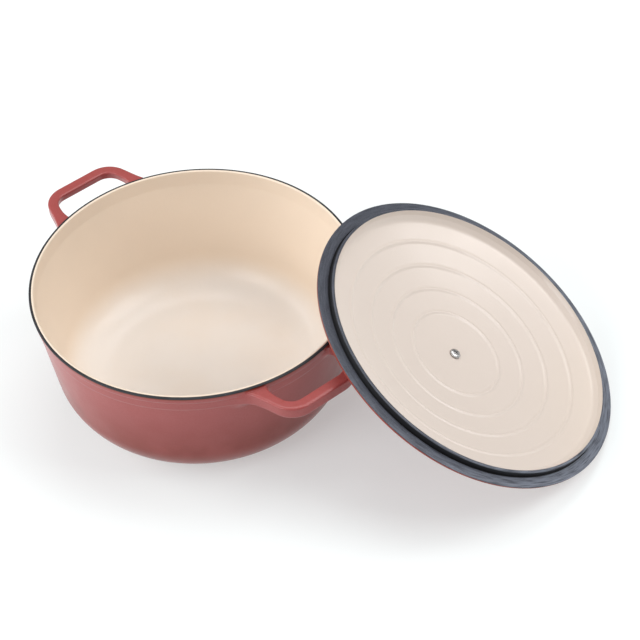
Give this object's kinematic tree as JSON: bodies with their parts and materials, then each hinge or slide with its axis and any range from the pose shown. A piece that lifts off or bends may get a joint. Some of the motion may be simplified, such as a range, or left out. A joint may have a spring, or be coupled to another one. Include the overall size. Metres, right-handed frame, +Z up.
{
  "type": "dutch oven",
  "caption": "Round enamelled cast iron pot with two loop handles, and a shallow domed lid with a round knob leaning open beside it.",
  "frame": {"origin": "centre of the pot's flat base, on the surface it stands on", "axes": "+Z up along the pot's axis, the two loop handles lie along +X and -X, and the lid leans on the rim towards +X +Y"},
  "size_m": [0.4808, 0.4161, 0.1513],
  "materials": {
    "bare_iron": "matte",
    "lid_iron": "matte",
    "rose_enamel": "gloss",
    "cream_enamel": "gloss",
    "knob_steel": "satin",
    "screw_steel": "polished"
  },
  "bodies": {
    "pot": {"pot_casting": "bare_iron", "pot_outer_enamel": "rose_enamel", "pot_inner_enamel": "cream_enamel"},
    "lid": {"lid_casting": "lid_iron", "lid_outer_enamel": "rose_enamel", "lid_inner_enamel": "cream_enamel", "knob": "knob_steel", "knob_screw": "screw_steel"}
  },
  "joints": [
    {"name": "lid_lift", "type": "slide", "parent": "pot", "child": "lid", "axis": [0, 0, 1], "range_m": [0, 0.16]}
  ]
}
